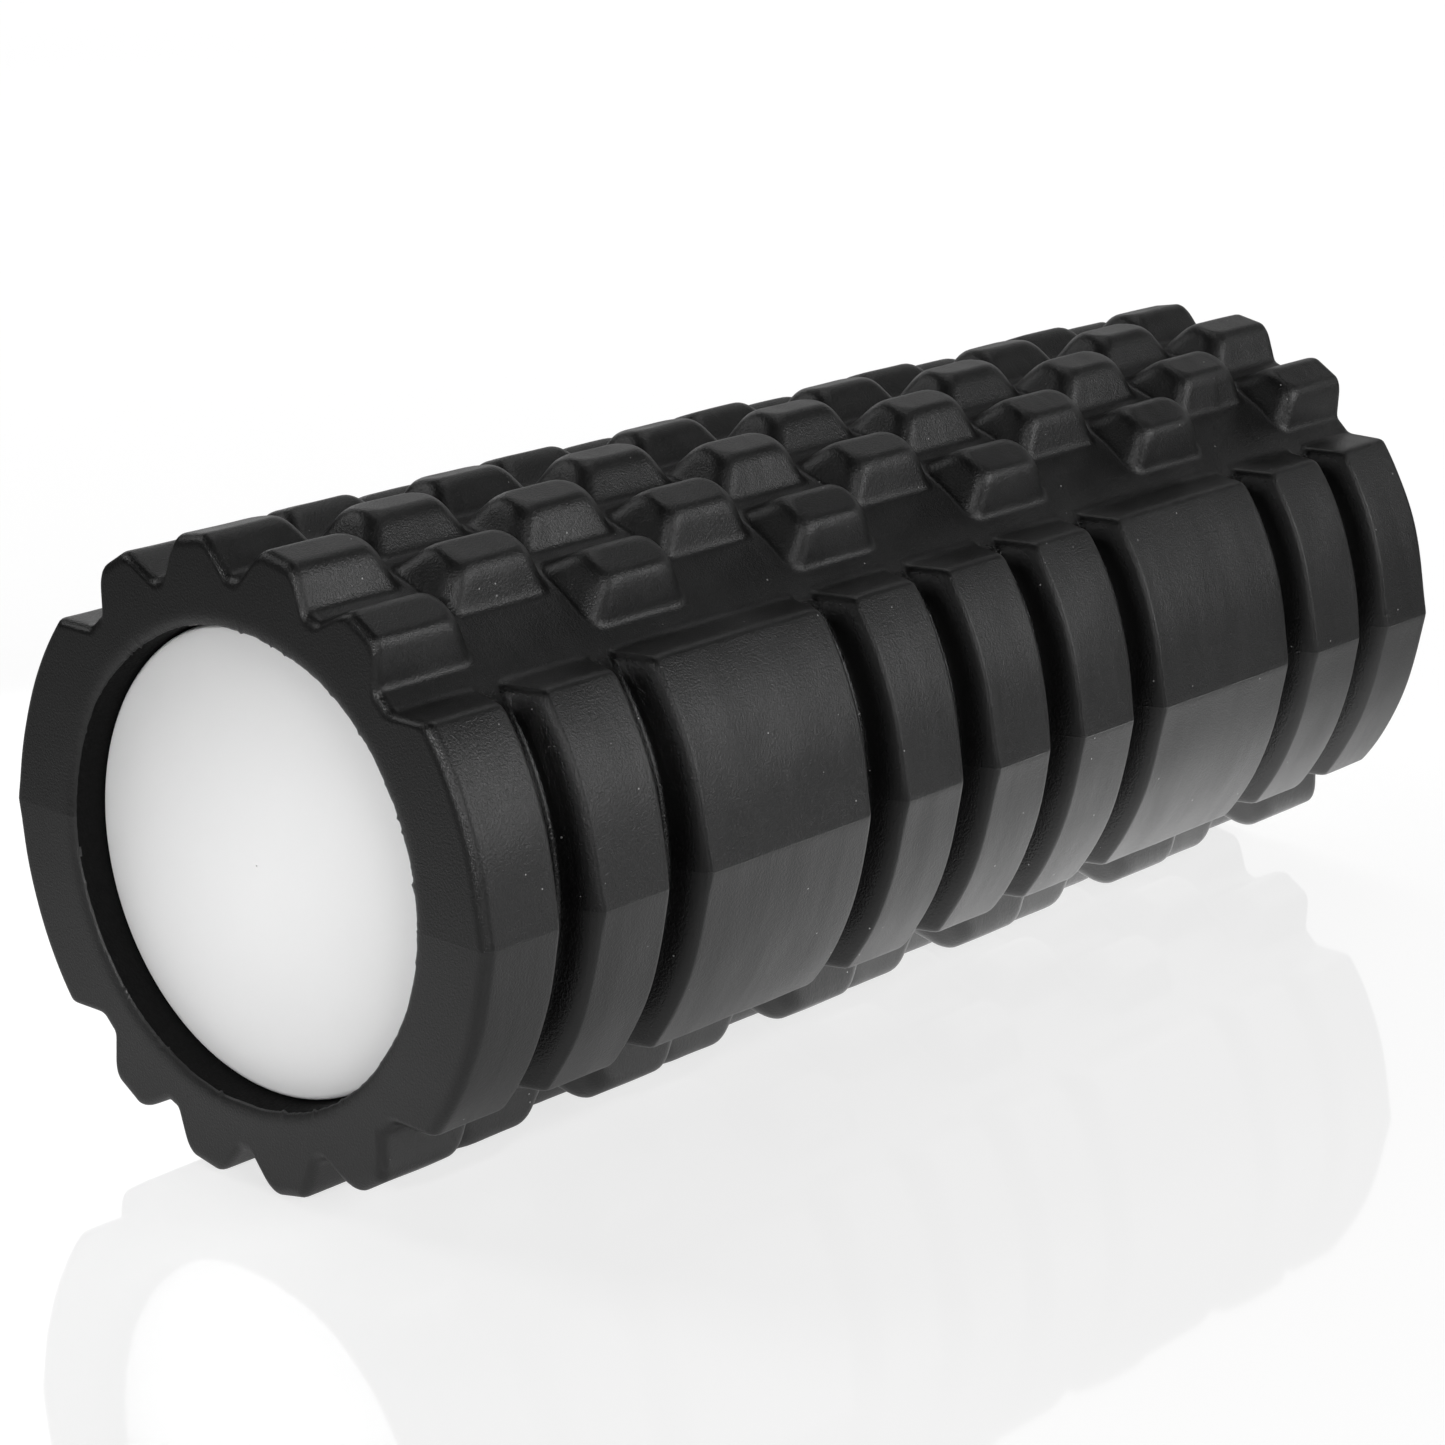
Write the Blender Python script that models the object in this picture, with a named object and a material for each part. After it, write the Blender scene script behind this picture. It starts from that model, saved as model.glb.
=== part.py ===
"""Hollow foam roller: a moulded foam sleeve with a blocky tread, on a rigid core tube closed by two caps.

Metres, +Z up. The roller lies on its side with its axis along X. The tread has two block fields, one on
top and one underneath, and two fields of ribs that run round the flanks (-Y and +Y). The sleeve comes
out of a two-part mould that opens along Z, so its parting line runs along the middle of the ribs.
The origin is on the floor, under the middle of the roller.
"""

from math import cos, pi, radians, sin, sqrt

import bmesh
import bpy
from mathutils import Matrix, Vector

# Overall size
LENGTH = 0.330          # end face to end face
TREAD_RADIUS = 0.0667   # to the top of the ribs and blocks
ROOT_RADIUS = 0.0594    # to the floor of the grooves
BORE_RADIUS = 0.0488    # inside the foam
ROUND_SEGMENTS = 48

# Ribs on the flanks. They stand on a regular pitch, and two of the gaps are filled to make wide ribs.
RIB_PITCH = 0.031
RIB_WIDTH = 0.020       # across the top of a narrow rib
RIB_DRAFT = 0.003       # how far a rib wall leans out between its top and the groove floor
RIB_HALF_HEIGHT = 0.0412  # the ribs end in level walls at this height above and below the axis
RIB_STATIONS = 6        # strips above and below the parting line
CROWN_ANGLE = radians(11)  # above and below the parting line the ribs run straight, to a blunt crest
# first and last pitch position of each rib, counted from the middle of the roller
RIBS = ((-5, -5), (-4, -4), (-3, -2), (-1, -1), (0, 0), (1, 1), (2, 3), (4, 4), (5, 5))

# Blocks above and below: seven rows, set like bricks
BLOCK_PITCH = 0.061
ROW_ANGLE = radians(10.7)
ROWS = (-3, -2, -1, 0, 1, 2, 3)
BLOCK_TOP = (0.0205, 0.0094)   # along the axis, and around it
BLOCK_DRAFT = (0.0040, 0.0042)  # how far each side leans out between the top and the groove floor

ROOTING = 0.0018        # how deep ribs and blocks run into the wall below the groove floor
OVERRUN = 0.006         # how far the sleeve is modelled past its end faces before it is trimmed

# Core tube and end caps
CLEARANCE = 0.0003
CAP_RECESS = 0.0069     # from the end face of the foam to the face of the cap
CAP_THICKNESS = 0.003
CAP_EDGE_RADIUS = 0.0008
TUBE_WALL = 0.0030
SPIGOT_WALL = 0.0025
SPIGOT_LENGTH = 0.014

AXIS_HEIGHT = TREAD_RADIUS
TUBE_RADIUS = BORE_RADIUS - CLEARANCE


def material(name, colour, roughness, metallic=0.0):
    made = bpy.data.materials.new(name)
    made.use_nodes = True
    shader = made.node_tree.nodes["Principled BSDF"]
    shader.inputs["Base Color"].default_value = (*colour, 1.0)
    shader.inputs["Roughness"].default_value = roughness
    shader.inputs["Metallic"].default_value = metallic
    return made


def new_object(name, mesh_source, colour_material=None):
    """Make an object from a bmesh, with its faces pointing out."""
    bmesh.ops.recalc_face_normals(mesh_source, faces=mesh_source.faces)
    mesh = bpy.data.meshes.new(name)
    mesh_source.to_mesh(mesh)
    mesh_source.free()
    if colour_material:
        mesh.materials.append(colour_material)
    made = bpy.data.objects.new(name, mesh)
    bpy.context.scene.collection.objects.link(made)
    return made


def shade_round(piece):
    piece.data.shade_smooth()
    piece.data.set_sharp_from_angle(angle=radians(30))


def guide(piece):
    """Mark an object that only shapes another one."""
    piece.hide_render = True
    piece.display_type = "WIRE"


def turn_profile(profile):
    """Turn a closed (x, radius) outline round the X axis."""
    source = bmesh.new()
    rings = []
    for step in range(ROUND_SEGMENTS):
        # half a step on, so that the lowest and highest points of the ring are flats
        angle = 2 * pi * (step + 0.5) / ROUND_SEGMENTS
        rings.append([source.verts.new((x, r * cos(angle), r * sin(angle))) for x, r in profile])
    for ring, following in zip(rings, rings[1:] + rings[:1]):
        for i in range(len(profile)):
            j = (i + 1) % len(profile)
            source.faces.new((ring[i], ring[j], following[j], following[i]))
    return source


def turn_solid(profile):
    """Turn an (x, radius) outline whose first and last points lie on the axis."""
    source = bmesh.new()
    poles = [source.verts.new((profile[0][0], 0, 0)), source.verts.new((profile[-1][0], 0, 0))]
    inner = profile[1:-1]
    rings = []
    for step in range(ROUND_SEGMENTS):
        angle = 2 * pi * (step + 0.5) / ROUND_SEGMENTS
        rings.append([source.verts.new((x, r * cos(angle), r * sin(angle))) for x, r in inner])
    for ring, following in zip(rings, rings[1:] + rings[:1]):
        source.faces.new((poles[0], ring[0], following[0]))
        for i in range(len(inner) - 1):
            source.faces.new((ring[i], ring[i + 1], following[i + 1], following[i]))
        source.faces.new((poles[1], following[-1], ring[-1]))
    return source


def box(low, high):
    source = bmesh.new()
    bmesh.ops.create_cube(source, size=1.0)
    size = Vector(high) - Vector(low)
    middle = (Vector(high) + Vector(low)) / 2
    bmesh.ops.transform(source, matrix=Matrix.Translation(middle) @ Matrix.Diagonal((*size, 1.0)),
                        verts=source.verts)
    return source


def flank_depth(height):
    """How far the rib surface stands out in Y at a height above the axis."""
    if abs(height) < TREAD_RADIUS * sin(CROWN_ANGLE):
        return (TREAD_RADIUS - abs(height) * sin(CROWN_ANGLE)) / cos(CROWN_ANGLE)
    return sqrt(TREAD_RADIUS ** 2 - height ** 2)


def loft(source, sections):
    """Skin a row of matching closed sections and cap both ends."""
    rings = [[source.verts.new(point) for point in section] for section in sections]
    count = len(rings[0])
    for ring, following in zip(rings, rings[1:]):
        for i in range(count):
            j = (i + 1) % count
            source.faces.new((ring[i], ring[j], following[j], following[i]))
    source.faces.new(rings[0][::-1])
    source.faces.new(rings[-1])


def add_rib(source, first, last, side):
    """One rib on the -Y flank (side -1) or on the +Y flank (side 1)."""
    left = first * RIB_PITCH - RIB_WIDTH / 2
    right = last * RIB_PITCH + RIB_WIDTH / 2
    # the walls keep their slope down to where the rib is rooted in the sleeve
    lean = RIB_DRAFT * (1 + ROOTING / (TREAD_RADIUS - ROOT_RADIUS))
    inner_radius = ROOT_RADIUS - ROOTING
    sections = []
    for step in range(2 * RIB_STATIONS + 1):
        height = RIB_HALF_HEIGHT * (step / RIB_STATIONS - 1)
        outer = side * flank_depth(height)
        inner = side * sqrt(inner_radius ** 2 - height ** 2)
        outer_left = left if first > RIBS[0][0] else -LENGTH / 2 - OVERRUN
        outer_right = right if last < RIBS[-1][1] else LENGTH / 2 + OVERRUN
        inner_left = outer_left - lean if first > RIBS[0][0] else outer_left
        inner_right = outer_right + lean if last < RIBS[-1][1] else outer_right
        sections.append(((inner_left, inner, height), (outer_left, outer, height),
                         (outer_right, outer, height), (inner_right, inner, height)))
    loft(source, sections)


def add_block(source, x, angle):
    """One tapered block, centred at x and at an angle up from the -Y flank."""
    along, around = BLOCK_TOP[0] / 2, BLOCK_TOP[1] / 2
    depth = TREAD_RADIUS - ROOT_RADIUS
    grow = 1 + ROOTING / depth
    lean_x, lean_y = BLOCK_DRAFT[0] * grow, BLOCK_DRAFT[1] * grow
    outward = Vector((0, -cos(angle), sin(angle)))
    across = Vector((0, sin(angle), cos(angle)))
    sections = []
    for radius, half_x, half_y in ((ROOT_RADIUS - ROOTING, along + lean_x, around + lean_y),
                                   (TREAD_RADIUS, along, around)):
        left, right = x - half_x, x + half_x
        # a block at an end of the roller carries on past the end face, where it is trimmed
        if x - along - BLOCK_DRAFT[0] < -LENGTH / 2:
            left = -LENGTH / 2 - OVERRUN
        if x + along + BLOCK_DRAFT[0] > LENGTH / 2:
            right = LENGTH / 2 + OVERRUN
        corners = ((left, -half_y), (right, -half_y), (right, half_y), (left, half_y))
        sections.append([Vector((cx, 0, 0)) + across * cy + outward * radius for cx, cy in corners])
    loft(source, sections)


def block_positions(row):
    """Centres along X. Odd rows have a block at each end, and even rows have one in the middle."""
    if row % 2:
        return [BLOCK_PITCH * (i + 0.5) for i in range(-3, 3)]
    return [BLOCK_PITCH * i for i in range(-2, 3)]


def make_sleeve(foam):
    half = LENGTH / 2 + OVERRUN
    sleeve = new_object("foam_sleeve", turn_profile(((-half, BORE_RADIUS), (-half, ROOT_RADIUS),
                                                     (half, ROOT_RADIUS), (half, BORE_RADIUS))), foam)
    tread = bmesh.new()
    for first, last in RIBS:
        for side in (-1, 1):
            add_rib(tread, first, last, side)
    for middle in (radians(90), radians(270)):
        for row in ROWS:
            for x in block_positions(row):
                add_block(tread, x, middle + row * ROW_ANGLE)
    tread_guide = new_object("tread_guide", tread)
    guide(tread_guide)
    add_tread = sleeve.modifiers.new("tread", "BOOLEAN")
    add_tread.operation = "UNION"
    add_tread.object = tread_guide

    reach = 2 * TREAD_RADIUS
    trim_guide = new_object("end_trim_guide", box((-LENGTH / 2, -reach, -reach), (LENGTH / 2, reach, reach)))
    guide(trim_guide)
    trim = sleeve.modifiers.new("trim_ends", "BOOLEAN")
    trim.operation = "INTERSECT"
    trim.object = trim_guide
    sleeve.location.z = AXIS_HEIGHT
    tread_guide.location.z = AXIS_HEIGHT
    trim_guide.location.z = AXIS_HEIGHT
    return sleeve


def make_core_tube(plastic):
    half = LENGTH / 2 - CAP_RECESS - CAP_THICKNESS - CLEARANCE
    inner = TUBE_RADIUS - TUBE_WALL
    tube = new_object("core_tube", turn_profile(((-half, inner), (-half, TUBE_RADIUS),
                                                 (half, TUBE_RADIUS), (half, inner))), plastic)
    tube.location.z = AXIS_HEIGHT
    shade_round(tube)
    return tube


def make_end_cap(name, side, plastic):
    """A cup-shaped plug: a round face with a spigot that fits inside the core tube. side is -1 or 1."""
    spigot_outer = TUBE_RADIUS - TUBE_WALL - CLEARANCE
    spigot_inner = spigot_outer - SPIGOT_WALL
    edge = CAP_EDGE_RADIUS
    profile = [(0, 0), (0, TUBE_RADIUS - edge), (edge, TUBE_RADIUS), (CAP_THICKNESS, TUBE_RADIUS),
               (CAP_THICKNESS, spigot_outer), (CAP_THICKNESS + SPIGOT_LENGTH, spigot_outer),
               (CAP_THICKNESS + SPIGOT_LENGTH, spigot_inner), (CAP_THICKNESS, spigot_inner), (CAP_THICKNESS, 0)]
    cap = new_object(name, turn_solid(profile), plastic)
    cap.location = (side * (LENGTH / 2 - CAP_RECESS), 0, AXIS_HEIGHT)
    if side > 0:
        cap.rotation_euler.z = pi
    shade_round(cap)
    return cap


def main():
    for existing in list(bpy.data.objects):
        bpy.data.objects.remove(existing, do_unlink=True)
    foam = material("black_eva_foam", (0.012, 0.012, 0.013), 0.5)
    white = material("white_cap_plastic", (0.82, 0.82, 0.83), 0.45)
    grey = material("core_tube_plastic", (0.05, 0.05, 0.055), 0.5)
    make_sleeve(foam)
    make_core_tube(grey)
    make_end_cap("end_cap_near", -1, white)
    make_end_cap("end_cap_far", 1, white)


main()
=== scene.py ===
"""Looks of the foam roller: foam sleeve, end caps and core tube, with the floor, lights and camera."""

from math import cos, pi, radians, sin, sqrt

import bpy
import numpy as np
from mathutils import Euler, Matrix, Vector


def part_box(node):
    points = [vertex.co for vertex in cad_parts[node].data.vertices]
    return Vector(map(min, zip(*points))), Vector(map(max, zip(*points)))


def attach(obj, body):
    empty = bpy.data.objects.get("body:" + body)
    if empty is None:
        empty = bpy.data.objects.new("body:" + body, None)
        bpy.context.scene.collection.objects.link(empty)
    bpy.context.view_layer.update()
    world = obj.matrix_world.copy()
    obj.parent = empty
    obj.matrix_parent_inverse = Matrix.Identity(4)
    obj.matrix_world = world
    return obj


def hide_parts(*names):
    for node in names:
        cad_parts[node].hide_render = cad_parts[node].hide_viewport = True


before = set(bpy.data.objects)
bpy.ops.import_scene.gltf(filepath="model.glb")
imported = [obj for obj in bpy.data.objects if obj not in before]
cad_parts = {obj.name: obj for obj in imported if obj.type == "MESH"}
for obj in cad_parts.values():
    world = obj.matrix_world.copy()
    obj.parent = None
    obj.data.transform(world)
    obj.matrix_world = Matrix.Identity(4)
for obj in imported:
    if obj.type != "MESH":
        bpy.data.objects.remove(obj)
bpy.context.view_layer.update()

scene = bpy.context.scene

# The roller's own measures, read from the frame
sleeve_low, sleeve_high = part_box("foam_sleeve")
cap_low, cap_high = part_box("end_cap_near")
HALF = (sleeve_high[0] - sleeve_low[0]) / 2
AXIS_Z = (sleeve_high[2] + sleeve_low[2]) / 2
TREAD_R = (sleeve_high[2] - sleeve_low[2]) / 2
CAP_R = (cap_high[1] - cap_low[1]) / 2
RECESS = cap_low[0] - sleeve_low[0]

# Sleeve, in metres and radians
ROOT_R = 0.0594             # to the floor of the grooves
BORE_R = 0.0488
DEPTH = TREAD_R - ROOT_R
END_ROUND = 0.0025          # outer edge of the end faces
LIP_WIDTH = 0.0026          # the end face rolls into the cut bore over this width
LIP_DEPTH = 0.0007
BORE_DEPTHS = (0.03, 0.012, 0.0078, 0.004, 0.002, 0.0012)   # rings down the bore from each end face
SKIN_WAVE = 0.00006         # slow unevenness of the moulded skin
SKIN_WAVE_LENGTH = 0.022

# Ribs, on the two flanks
RIB_PITCH = 0.031
RIB_WIDTH = 0.020
RIB_DRAFT = 0.0030          # how far a wall leans out between its top and the groove floor
RIB_END_Z = 0.0412          # the ribs end at this height above and below the axis
RIBS = ((-5, -5), (-4, -4), (-3, -2), (-1, -1), (0, 0), (1, 1), (2, 3), (4, 4), (5, 5))  # first, last pitch
CREST = 0.0012              # rise of the ribs towards the parting line
CREST_FADE = radians(4.3)
CREST_EASE = radians(0.8)
FLASH = 0.00010             # raised mould line
FLASH_HALF_WIDTH = radians(0.2)
RIB_SOFT = 0.0014           # roundings: long edges, end edges, upright corners
RIB_END_SOFT = 0.0012
RIB_CORNER_SOFT = 0.0040
RIB_CORNER_REACH = 0.012

# Blocks, above and below
BLOCK_PITCH = 0.061
ROW_ANGLE = radians(10.7)
ROWS_EACH_SIDE = 3
BLOCK_TOP = (0.01025, 0.0047)      # half sizes along the axis and around it
BLOCK_DRAFT = (0.0040, 0.0042)
BLOCK_WALL = 0.0123                # from the middle of a block to the middle of its end wall
BLOCK_REACH = radians(14)          # no block reaches further round than this from its middle
OUTERMOST = 2.5 * BLOCK_PITCH      # past here is the outermost column of blocks
EDGE_SOFT = 0.0030                 # roundings: top edges, upright corners, foot
CORNER_SOFT = 0.0075
FILLET_SOFT = 0.0012

NOWHERE = -1.0              # a radius far below the root, where there is no rib or block
UNBOUNDED = 1.0             # a radius far above the tread, where a wall doesn't limit the rib

# Caps
CAP_CROWN = 0.0022
CAP_EDGE = 0.0012
CAP_PLATE = 0.003
SPIGOT_GAP = 0.0033         # from the rim of the cap in to the outside of the spigot
SPIGOT_WALL = 0.0025
CAP_SIDES = 144

# Painted shade and smoother skin in the grooves between the ribs
GROOVE_R = 0.0660           # the grooves' painted shade and smoother finish start below this radius
GROOVE_BLEND = 0.0030
GROOVE_SIDE_BLEND = 0.003
GROOVE_MARGIN = 0.012       # it stops this far short of the end faces
GROOVE_MARGIN_BLEND = 0.002

# Stage
FLOOR_WHITE = 0.70          # how white the floor looks to the camera
FLOOR_GLOW = 0.12           # painted light: how brightly the floor glows to all other rays, away from the painted pools of light
PAINTED_LIGHT_POOLS = (((0.10, -0.04), (0.15, 0.10), 1.6), ((-0.25, 0.06), (0.09, 0.14), 0.5))  # painted pools of light on the floor: middle, spread, glow
WORLD_FILL = 0.0            # light from all round
FLOOR_HALF = 6
FLOOR_Z = -0.0002
AIM = (0, 0, 0.07)          # where the soft boxes point
CAP_LAMP_AT = (-1.0, -0.45, 0.42)
CAMERA_LENS = 97.953        # millimetres, on a 36 mm sensor
CAMERA_AT = (-0.65197, -0.54323, 0.31974)
CAMERA_TURN = (73.0040, -0.8220, -49.0279)   # degrees about X, Y and Z


# ---------------------------------------------------------------- shape of the sleeve

def soft_min(a, b, k):
    """The lower of a and b, blended over a width k where they meet."""
    h = np.clip(0.5 + 0.5 * (b - a) / k, 0, 1)
    return b * (1 - h) + a * h - k * h * (1 - h)


def soft_max(a, b, k):
    """The higher of a and b, blended over a width k where they meet."""
    return -soft_min(-a, -b, k)


def smooth_noise(points, seed, cells):
    """Periodic 1-D value noise over 0..1, for a rim that closes on itself."""
    rng = np.random.default_rng(seed)
    knots = rng.uniform(-1, 1, cells)
    at = (points % 1.0) * cells
    i = np.floor(at).astype(int)
    f = at - i
    f = f * f * (3 - 2 * f)
    return knots[i % cells] * (1 - f) + knots[(i + 1) % cells] * f


def waves(x, theta, seed, size, count=14):
    """Slow unevenness of the moulded skin, as a sum of random plane waves."""
    rng = np.random.default_rng(seed)
    total = np.zeros(np.broadcast(x, theta).shape)
    for _ in range(count):
        angle, phase = rng.uniform(0, 2 * pi, 2)
        length = size * rng.uniform(0.7, 1.6)
        kx = 2 * pi * cos(angle) / length
        around = round(sin(angle) * 2 * pi * TREAD_R / length)  # whole waves round the roller
        total += np.sin(kx * x + around * theta + phase)
    return total / sqrt(count)


def rib_surface(x, theta):
    """Radius of the rib surface, far below the root where there is no rib. theta is from the -Y side."""
    side = (theta + pi / 2) % pi - pi / 2   # angle from the nearer parting line
    eased = np.sqrt(side ** 2 + CREST_EASE ** 2) - CREST_EASE   # the crest is not a knife edge
    top = TREAD_R + CREST * np.exp(-eased / CREST_FADE)
    end = np.minimum(RIB_END_Z / np.maximum(np.abs(np.sin(side)), 0.3), UNBOUNDED)
    walls = np.full(np.broadcast(x, theta).shape, NOWHERE)
    for first, last in RIBS:
        left = first * RIB_PITCH - RIB_WIDTH / 2
        right = last * RIB_PITCH + RIB_WIDTH / 2
        from_left = np.inf if first == RIBS[0][0] else (x - left)
        from_right = np.inf if last == RIBS[-1][1] else (right - x)
        inside = np.minimum(from_left, from_right)
        walls = np.maximum(walls, TREAD_R + inside * DEPTH / RIB_DRAFT)
    walls = np.minimum(walls, UNBOUNDED)
    flank = soft_min(soft_min(walls, top, RIB_SOFT), end, RIB_END_SOFT)
    corner = soft_min(end, walls, RIB_CORNER_SOFT)
    near_corner = np.clip(1 - np.abs(end - walls) / RIB_CORNER_REACH, 0, 1)
    return soft_min(flank, corner, RIB_END_SOFT * near_corner + 1e-6)


def block_surface(x, theta):
    """Radius of the block surface, far below the root where there is no block."""
    top_x, top_y = BLOCK_TOP
    lean_x, lean_y = BLOCK_DRAFT[0] / DEPTH, BLOCK_DRAFT[1] / DEPTH
    surface = np.full(np.broadcast(x, theta).shape, NOWHERE)
    for middle in (pi / 2, 3 * pi / 2):
        for row in range(-ROWS_EACH_SIDE, ROWS_EACH_SIDE + 1):
            turn = theta - (middle + row * ROW_ANGLE)
            turn = (turn + pi) % (2 * pi) - pi
            near = np.abs(turn) < BLOCK_REACH
            c, s = np.cos(turn), np.abs(np.sin(turn))
            shift = 0.5 if row % 2 else 0.0
            place = x / BLOCK_PITCH - shift
            local = (place - np.round(place)) * BLOCK_PITCH
            reach = np.abs(local)
            # the outermost blocks of odd rows run out to the end faces; even rows have none there
            reach = np.where(np.abs(x) > OUTERMOST, 0 if row % 2 else 1, reach)
            top = TREAD_R / c
            flank = (top_y + lean_y * TREAD_R) / (s + lean_y * c)
            end = (TREAD_R + (top_x - reach) / lean_x) / c
            block = soft_min(soft_min(flank, end, CORNER_SOFT), top, EDGE_SOFT)
            surface = np.where(near, np.maximum(surface, block), surface)
    return surface


def tread_radius(x, theta):
    """Radius of the moulded skin: ribs and blocks on the root, with the mould line and slow waves."""
    raised = np.maximum(rib_surface(x, theta), block_surface(x, theta))
    raised = np.maximum(raised, ROOT_R - 0.004)
    radius = soft_max(raised, ROOT_R + 0 * raised, FILLET_SOFT)
    side = np.abs((theta + pi / 2) % pi - pi / 2)
    uneven = 0.55 + 0.45 * np.sin(x / 0.0047 + 3 * np.sin(x / 0.0113))
    flash = FLASH * uneven * np.clip(1 - side / FLASH_HALF_WIDTH, 0, 1)
    return radius + flash + SKIN_WAVE * waves(x, theta, 5, SKIN_WAVE_LENGTH)


def stations(start, end, step_at):
    """Positions from start to end, with the local spacing that step_at gives."""
    fine = np.linspace(start, end, 20001)
    density = 1 / step_at(fine)
    total = np.concatenate(([0], np.cumsum((density[1:] + density[:-1]) / 2 * np.diff(fine))))
    count = int(np.ceil(total[-1]))
    return np.interp(np.linspace(0, total[-1], count + 1), total, fine)


def x_step(x):
    """Close steps across the walls of ribs and blocks, wide ones between them."""
    step = np.full(x.shape, 0.0016)
    for first, last in RIBS:
        left = first * RIB_PITCH - RIB_WIDTH / 2
        right = last * RIB_PITCH + RIB_WIDTH / 2
        for wall in (left - 0.0012, right + 0.0012):
            step = np.where(np.abs(x - wall) < 0.0034, 0.00042, step)
    for k in range(-6, 7):
        for wall in (k * BLOCK_PITCH / 2 - BLOCK_WALL, k * BLOCK_PITCH / 2 + BLOCK_WALL):
            step = np.where(np.abs(x - wall) < 0.0036, 0.00055, step)
    return step


def theta_step(theta):
    """Close steps round the mould line and on the blocks, wider ones on the ribs between them."""
    side = np.abs((theta + pi / 2) % pi - pi / 2)
    step = np.where(side < radians(34), radians(0.8), radians(0.5))
    step = np.where(side < radians(3), radians(0.4), step)
    return np.where(side < radians(0.45), radians(0.1), step)


def grid_object(name, rings, closed_rows):
    """Skin a (rows, columns, 3) grid that closes round its columns, and round its rows if closed_rows."""
    rows, columns = rings.shape[:2]
    index = np.arange(rows * columns).reshape(rows, columns)
    below = np.roll(index, -1, axis=0) if closed_rows else index[1:]
    above = index if closed_rows else index[:-1]
    quads = np.stack((above, below, np.roll(below, -1, axis=1), np.roll(above, -1, axis=1)), axis=-1)
    mesh = bpy.data.meshes.new(name)
    mesh.from_pydata(rings.reshape(-1, 3).tolist(), [], quads.reshape(-1, 4).tolist())
    mesh.validate()
    mesh.shade_smooth()
    made = bpy.data.objects.new(name, mesh)
    scene.collection.objects.link(made)
    return made


def trimmed_rim(theta, seed):
    """How far the cut edge of the bore stands in at each angle: small burrs and nicks left by the knife."""
    rng = np.random.default_rng(seed)
    turn = theta / (2 * pi)
    rough = 0.00022 * smooth_noise(turn, seed + 2, 24) + 0.00008 * smooth_noise(turn, seed, 90)
    rough = rough + 0.00008 * smooth_noise(turn, seed + 1, 300)
    for _ in range(38):
        at, width, height = rng.uniform(0, 2 * pi), rng.uniform(0.006, 0.02), rng.uniform(0.0001, 0.0006)
        gap = np.abs((theta - at + pi) % (2 * pi) - pi)
        rough = rough + height * np.clip(1 - gap / width, 0, 1)
    return rough


def end_rings(theta, sign, seed):
    """Rings of (x, radius) from inside the bore, over one end face and round its outer edge."""
    made = []
    inner = HALF - END_ROUND
    edge = tread_radius(np.full((1, 1), sign * inner), theta[None, :])[0]
    burr = trimmed_rim(theta, seed)
    for depth in BORE_DEPTHS:
        made.append((np.full(theta.shape, sign * (HALF - depth)), np.full(theta.shape, BORE_R)))
    made.append((np.full(theta.shape, sign * (HALF - LIP_DEPTH - 0.0001)), BORE_R - burr))
    for part in (0.18, 0.4, 0.65, 1.0):   # the face rolls into the cut
        made.append((np.full(theta.shape, sign * (HALF - LIP_DEPTH * (1 - part) ** 2)),
                     BORE_R + LIP_WIDTH * part - burr * (1 - part)))
    outer = edge - END_ROUND
    start = BORE_R + LIP_WIDTH
    for part in (0.12, 0.3, 0.5, 0.7, 0.88, 0.96):
        made.append((np.full(theta.shape, sign * HALF), start + (outer - start) * part))
    for turn in np.linspace(0, 90, 7)[:-1]:
        a = radians(turn)
        made.append((np.full(theta.shape, sign * (inner + END_ROUND * cos(a))),
                     outer + END_ROUND * sin(a)))
    return made


def make_sleeve():
    """The whole sleeve as one closed skin: near end, tread, far end, and back through the bore."""
    theta = stations(0, 2 * pi, theta_step)[:-1]
    inner = HALF - END_ROUND
    x = stations(-inner, inner, x_step)
    radius = tread_radius(x[:, None], theta[None, :])
    near = end_rings(theta, -1, 11)
    far = end_rings(theta, 1, 23)
    middle = [(np.full(theta.shape, xi), radius[i]) for i, xi in enumerate(x)]
    rings = near + middle + far[::-1]
    xs = np.stack([r[0] for r in rings])
    rs = np.stack([r[1] for r in rings])
    points = np.stack((xs, -rs * np.cos(theta), AXIS_Z + rs * np.sin(theta)), axis=-1)
    return grid_object("foam_sleeve_skin", points, True)


def paint_bore(mesh):
    """Give the faces of the bore wall the second material."""
    centres = np.empty(len(mesh.polygons) * 3)
    mesh.polygons.foreach_get("center", centres)
    centres = centres.reshape(-1, 3)
    radius = np.hypot(centres[:, 1], centres[:, 2] - AXIS_Z)
    inside = (radius < BORE_R + 0.0001) & (np.abs(centres[:, 0]) < HALF - 0.0009)
    mesh.polygons.foreach_set("material_index", inside.astype(np.int32))


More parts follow.
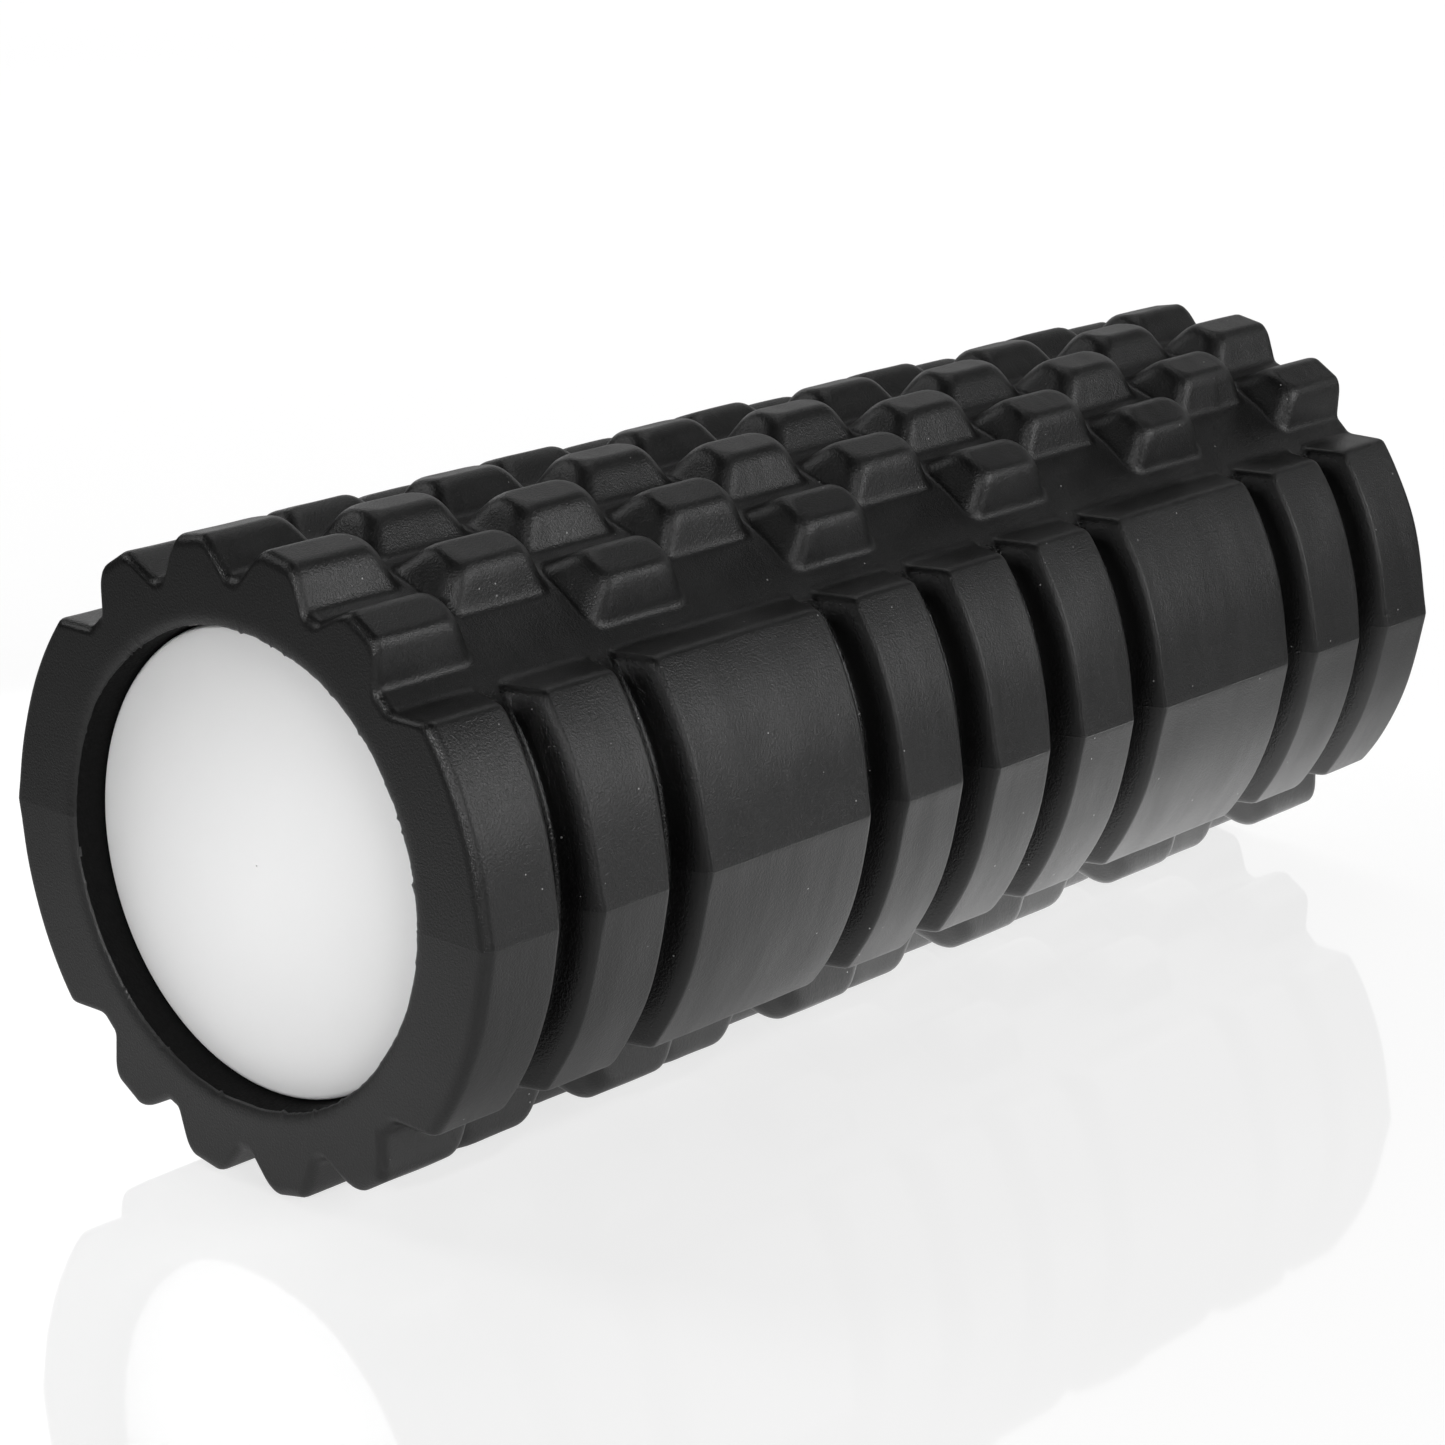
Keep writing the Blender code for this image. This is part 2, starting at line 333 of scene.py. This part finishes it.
def make_cap(name, side):
    """A slightly crowned white cap with a rolled edge and a spigot behind it."""
    face = RECESS + CAP_EDGE * 0.25
    outline = []   # (depth behind the end face, radius), from the middle of the face outwards
    for part in np.linspace(0.004, 1, 26):
        outline.append((face - CAP_CROWN * (1 - part ** 2), part * (CAP_R - CAP_EDGE)))
    for turn in np.linspace(15, 90, 6):
        a = radians(turn)
        outline.append((face + CAP_EDGE * (1 - cos(a)), CAP_R - CAP_EDGE + CAP_EDGE * sin(a)))
    behind = RECESS + CAP_PLATE
    back = RECESS + cap_high[0] - cap_low[0]
    spigot = CAP_R - SPIGOT_GAP
    outline += [(behind, CAP_R), (behind, spigot), (back, spigot),
                (back, spigot - SPIGOT_WALL), (behind, spigot - SPIGOT_WALL), (behind, 0.0004)]
    theta = np.linspace(0, 2 * pi, CAP_SIDES, endpoint=False)
    rings = np.array([[(side * (HALF - depth), -r * cos(t), AXIS_Z + r * sin(t)) for t in theta]
                      for depth, r in outline])
    cap = grid_object(name, rings, True)
    cap.data.set_sharp_from_angle(angle=radians(40))
    return cap


# ---------------------------------------------------------------- materials

class Nodes:
    """Short calls for building a material's node tree."""

    def __init__(self, name):
        self.material = bpy.data.materials.new(name)
        self.material.use_nodes = True
        self.tree = self.material.node_tree
        self.shader = self.tree.nodes["Principled BSDF"]

    def add(self, kind, inputs=None, **settings):
        node = self.tree.nodes.new(kind)
        for key, value in settings.items():
            setattr(node, key, value)
        for key, value in (inputs or {}).items():
            if isinstance(value, bpy.types.NodeSocket):
                self.tree.links.new(value, node.inputs[key])
            else:
                node.inputs[key].default_value = value
        return node

    def link(self, source, target):
        self.tree.links.new(source, target)

    def math(self, operation, a, b=0.0, c=0.0, clamp=False):
        return self.add("ShaderNodeMath", {0: a, 1: b, 2: c}, operation=operation, use_clamp=clamp).outputs[0]

    def noise(self, coordinates, scale, detail=2.0, roughness=0.5):
        node = self.add("ShaderNodeTexNoise", {"Vector": coordinates, "Scale": scale, "Detail": detail,
                                               "Roughness": roughness})
        return node.outputs["Fac"]


def foam_material():
    n = Nodes("black_eva_foam_skin")
    place = n.add("ShaderNodeTexCoord").outputs["Object"]
    split = n.add("ShaderNodeSeparateXYZ", {0: place})
    # the lower half of the skin is lighter and a little rougher than the upper half, with a sharp change at
    # the parting line
    lower = n.math("LESS_THAN", split.outputs["Z"], AXIS_Z)
    grain = n.noise(place, 4200, 2.0, 0.6)
    pores = n.noise(place, 2000, 2.0, 0.6)
    drawn = n.add("ShaderNodeMapping", {"Vector": place, "Scale": (1.0, 0.3, 0.3)}).outputs[0]
    cloud = n.noise(drawn, 105, 2.0, 0.5)
    # dust: sparse pale specks
    cells = n.add("ShaderNodeTexVoronoi", {"Vector": place, "Scale": 230.0, "Randomness": 1.0})
    speck = n.math("LESS_THAN", cells.outputs["Distance"], 0.042)
    pick = n.add("ShaderNodeSeparateColor", {0: cells.outputs["Color"]})
    chosen = n.math("GREATER_THAN", pick.outputs[0], 0.55)
    dust = n.math("MULTIPLY", speck, chosen)

    # painted shade: the skin in the grooves between the ribs is painted darker, and made smoother, than on
    # the crowns
    height_here = n.math("SUBTRACT", split.outputs["Z"], AXIS_Z)
    across = split.outputs["Y"]
    radius = n.math("SQRT", n.math("ADD", n.math("MULTIPLY", height_here, height_here),
                                   n.math("MULTIPLY", across, across)))
    depth = n.math("SUBTRACT", GROOVE_R, radius)
    from_rib_end = n.math("SUBTRACT", RIB_END_Z, n.math("ABSOLUTE", height_here))
    from_face = n.math("SUBTRACT", HALF - GROOVE_MARGIN, n.math("ABSOLUTE", split.outputs["X"]))
    deep = n.math("DIVIDE", depth, GROOVE_BLEND, clamp=True)
    beside = n.math("DIVIDE", from_rib_end, GROOVE_SIDE_BLEND, clamp=True)
    inboard = n.math("DIVIDE", from_face, GROOVE_MARGIN_BLEND, clamp=True)
    groove_shade_and_gloss = n.math("MULTIPLY", n.math("MULTIPLY", deep, beside), inboard)

    base = n.math("MULTIPLY_ADD", cloud, 0.003, 0.0015)
    base = n.math("MULTIPLY_ADD", lower, 0.009, base)
    base = n.math("MULTIPLY_ADD", grain, 0.004, base)
    # painted shade: the base colour is darkened in the grooves, where the ribs shade them
    base = n.math("MULTIPLY", base, n.math("MULTIPLY_ADD", groove_shade_and_gloss, -0.9, 1.0))
    with_dust = n.add("ShaderNodeMix", {"Factor": dust, "A": base, "B": 0.40}, data_type="FLOAT")
    n.link(with_dust.outputs[0], n.shader.inputs["Base Color"])
    rough = n.math("MULTIPLY_ADD", cloud, 0.18, 0.20)
    rough = n.math("MULTIPLY_ADD", pores, 0.12, rough)
    rough = n.math("MULTIPLY_ADD", lower, 0.04, rough)
    rough = n.math("MULTIPLY", rough, n.math("MULTIPLY_ADD", groove_shade_and_gloss, -0.5, 1.0))
    n.link(rough, n.shader.inputs["Roughness"])
    n.shader.inputs["Specular IOR Level"].default_value = 0.5
    height = n.math("MULTIPLY_ADD", grain, 0.5, pores)
    bump = n.add("ShaderNodeBump", {"Height": height, "Strength": 0.6, "Distance": 0.00018})
    slow = n.add("ShaderNodeBump", {"Height": cloud, "Strength": 0.3, "Distance": 0.0010,
                                    "Normal": bump.outputs[0]})
    n.link(slow.outputs[0], n.shader.inputs["Normal"])
    return n.material


def cut_foam_material():
    """The bore is cut, not moulded: open cells with hardly any shine."""
    n = Nodes("cut_eva_foam")
    place = n.add("ShaderNodeTexCoord").outputs["Object"]
    cells = n.add("ShaderNodeTexVoronoi", {"Vector": place, "Scale": 1500.0}).outputs["Distance"]
    grain = n.noise(place, 700, 3.0, 0.6)
    n.link(n.math("MULTIPLY_ADD", grain, 0.006, 0.004), n.shader.inputs["Base Color"])
    n.link(n.math("MULTIPLY_ADD", cells, 0.2, 0.75), n.shader.inputs["Roughness"])
    n.shader.inputs["Specular IOR Level"].default_value = 0.06
    bump = n.add("ShaderNodeBump", {"Height": cells, "Strength": 0.4, "Distance": 0.0002})
    n.link(bump.outputs[0], n.shader.inputs["Normal"])
    return n.material


def cap_material():
    n = Nodes("white_cap_plastic_skin")
    place = n.add("ShaderNodeTexCoord").outputs["Object"]
    haze = n.noise(place, 45, 2.0, 0.5)
    grain = n.noise(place, 1500, 2.0, 0.5)
    tone = n.math("MULTIPLY_ADD", haze, 0.03, 0.88)
    tone = n.math("MULTIPLY_ADD", grain, 0.01, tone)
    n.link(tone, n.shader.inputs["Base Color"])
    n.link(n.math("MULTIPLY_ADD", haze, 0.10, 0.42), n.shader.inputs["Roughness"])
    bump = n.add("ShaderNodeBump", {"Height": grain, "Strength": 0.15, "Distance": 0.00005})
    n.link(bump.outputs[0], n.shader.inputs["Normal"])
    return n.material


def tube_material():
    n = Nodes("core_tube_plastic_skin")
    place = n.add("ShaderNodeTexCoord").outputs["Object"]
    streaks = n.add("ShaderNodeMapping", {"Vector": place, "Scale": (8.0, 700.0, 700.0)}).outputs[0]
    drawn = n.noise(streaks, 1.0, 2.0, 0.5)
    n.link(n.math("MULTIPLY_ADD", drawn, 0.03, 0.035), n.shader.inputs["Base Color"])
    n.link(n.math("MULTIPLY_ADD", drawn, 0.15, 0.35), n.shader.inputs["Roughness"])
    bump = n.add("ShaderNodeBump", {"Height": drawn, "Strength": 0.2, "Distance": 0.0001})
    n.link(bump.outputs[0], n.shader.inputs["Normal"])
    return n.material


def floor_material():
    """Glossy white floor: evenly white to camera rays; to all other rays it glows dimly, with brighter
    painted pools of light, though it is no lamp.
    """
    n = Nodes("pale_floor")
    n.shader.inputs["Base Color"].default_value = (0.5, 0.5, 0.5, 1)
    n.shader.inputs["Roughness"].default_value = 0.045
    n.shader.inputs["IOR"].default_value = 1.9
    n.shader.inputs["Emission Color"].default_value = (1, 1, 1, 1)
    place = n.add("ShaderNodeTexCoord").outputs["Object"]
    at = n.add("ShaderNodeSeparateXYZ", {0: place}).outputs
    # painted light: the floor glows onto the roller, brightest in the painted pools
    glow = FLOOR_GLOW
    for middle, spread, brightness in PAINTED_LIGHT_POOLS:
        across = n.math("MULTIPLY", n.math("SUBTRACT", at["X"], middle[0]), 1 / spread[0])
        along = n.math("MULTIPLY", n.math("SUBTRACT", at["Y"], middle[1]), 1 / spread[1])
        reach = n.math("ADD", n.math("MULTIPLY", across, across), n.math("MULTIPLY", along, along))
        painted_pool = n.math("EXPONENT", n.math("MULTIPLY", reach, -1.0))
        glow = n.math("MULTIPLY_ADD", painted_pool, brightness, glow)
    seen = n.add("ShaderNodeLightPath").outputs["Is Camera Ray"]
    strength = n.add("ShaderNodeMix", {"Factor": seen, "A": glow, "B": FLOOR_WHITE}, data_type="FLOAT")
    n.link(strength.outputs[0], n.shader.inputs["Emission Strength"])
    return n.material


# ---------------------------------------------------------------- object

sleeve = make_sleeve()
sleeve.data.materials.append(foam_material())
sleeve.data.materials.append(cut_foam_material())
paint_bore(sleeve.data)
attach(sleeve, "root")
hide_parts("foam_sleeve")

white = cap_material()
for cap_name, node, side in (("cap_near", "end_cap_near", -1), ("cap_far", "end_cap_far", 1)):
    cap = make_cap(cap_name, side)
    cap.data.materials.append(white)
    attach(cap, "root")
    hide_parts(node)

tube = tube_material()
for material_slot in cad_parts["core_tube"].material_slots:
    material_slot.material = tube

# ---------------------------------------------------------------- stage

floor_corners = [(x * FLOOR_HALF, y * FLOOR_HALF, FLOOR_Z) for x, y in ((-1, -1), (1, -1), (1, 1), (-1, 1))]
floor_mesh = bpy.data.meshes.new("floor")
floor_mesh.from_pydata(floor_corners, [], [(0, 1, 2, 3)])
floor = bpy.data.objects.new("floor", floor_mesh)
floor.data.materials.append(floor_material())
scene.collection.objects.link(floor)


def soft_box(name, azimuth, elevation, size, power, distance=1.5):
    """A rectangular lamp aimed at the roller. Azimuth 0 is the front, -Y, and 90 is the right, +X."""
    a, e = radians(azimuth), radians(elevation)
    toward = Vector((sin(a) * cos(e), -cos(a) * cos(e), sin(e)))
    light = bpy.data.lights.new(name, "AREA")
    light.shape = "RECTANGLE"
    light.size, light.size_y = size
    light.energy = power
    made = bpy.data.objects.new(name, light)
    made.location = Vector(AIM) + distance * toward
    made.rotation_euler = toward.to_track_quat("Z", "Y").to_euler()
    scene.collection.objects.link(made)


# name: azimuth, elevation, size in metres, power in watts
SOFT_BOXES = {
    "right_front": (30, 22, (0.56, 0.56), 4.6),
    "right_front_low": (30, 14, (0.36, 0.36), 1.8),
    "left_front": (333, 22, (0.56, 0.56), 5.4),
    "left": (275, 22, (0.56, 0.56), 1.3),
    "back_left_high": (210, 40, (0.70, 0.70), 3.4),
    "right_high": (60, 62, (0.70, 0.70), 0.9),
    "back_right_high": (120, 62, (0.70, 0.70), 1.8),
    "right": (80, 18, (1.40, 0.60), 1.1),
    "back": (155, 22, (0.56, 0.56), 0.7),
}
for lamp_name, lamp in SOFT_BOXES.items():
    soft_box(lamp_name, *lamp)
soft_box("back_wall", 131, 15, (3.2, 2.3), 11.5, 3.5)

# a narrow soft spot on the near cap
spot = bpy.data.lights.new("cap_lamp", "SPOT")
spot.energy = 29.0
spot.spot_size = radians(9.0)
spot.spot_blend = 1.0
spot.shadow_soft_size = 0.05
spot_object = bpy.data.objects.new("cap_lamp", spot)
spot_object.location = CAP_LAMP_AT
cap_middle = Vector((cap_low[0], 0, AXIS_Z - 0.004))
spot_object.rotation_euler = (cap_middle - spot_object.location).to_track_quat("-Z", "Y").to_euler()
scene.collection.objects.link(spot_object)

# the background is white to the camera and throws no light
world = bpy.data.worlds.new("studio")
world.use_nodes = True
world_nodes = world.node_tree
background = world_nodes.nodes["Background"]
background.inputs["Color"].default_value = (1, 1, 1, 1)
seen = world_nodes.nodes.new("ShaderNodeLightPath").outputs["Is Camera Ray"]
strength = world_nodes.nodes.new("ShaderNodeMix")
strength.data_type = "FLOAT"
world_nodes.links.new(seen, strength.inputs["Factor"])
strength.inputs["A"].default_value = WORLD_FILL
strength.inputs["B"].default_value = 1.0
world_nodes.links.new(strength.outputs[0], background.inputs["Strength"])
scene.world = world
scene.view_settings.view_transform = "Standard"

camera_data = bpy.data.cameras.new("camera")
camera_data.sensor_width = 36
camera_data.lens = CAMERA_LENS
camera_data.clip_end = 50
camera = bpy.data.objects.new("camera", camera_data)
scene.collection.objects.link(camera)
camera.location = CAMERA_AT
camera.rotation_euler = Euler([radians(turn) for turn in CAMERA_TURN])
scene.camera = camera
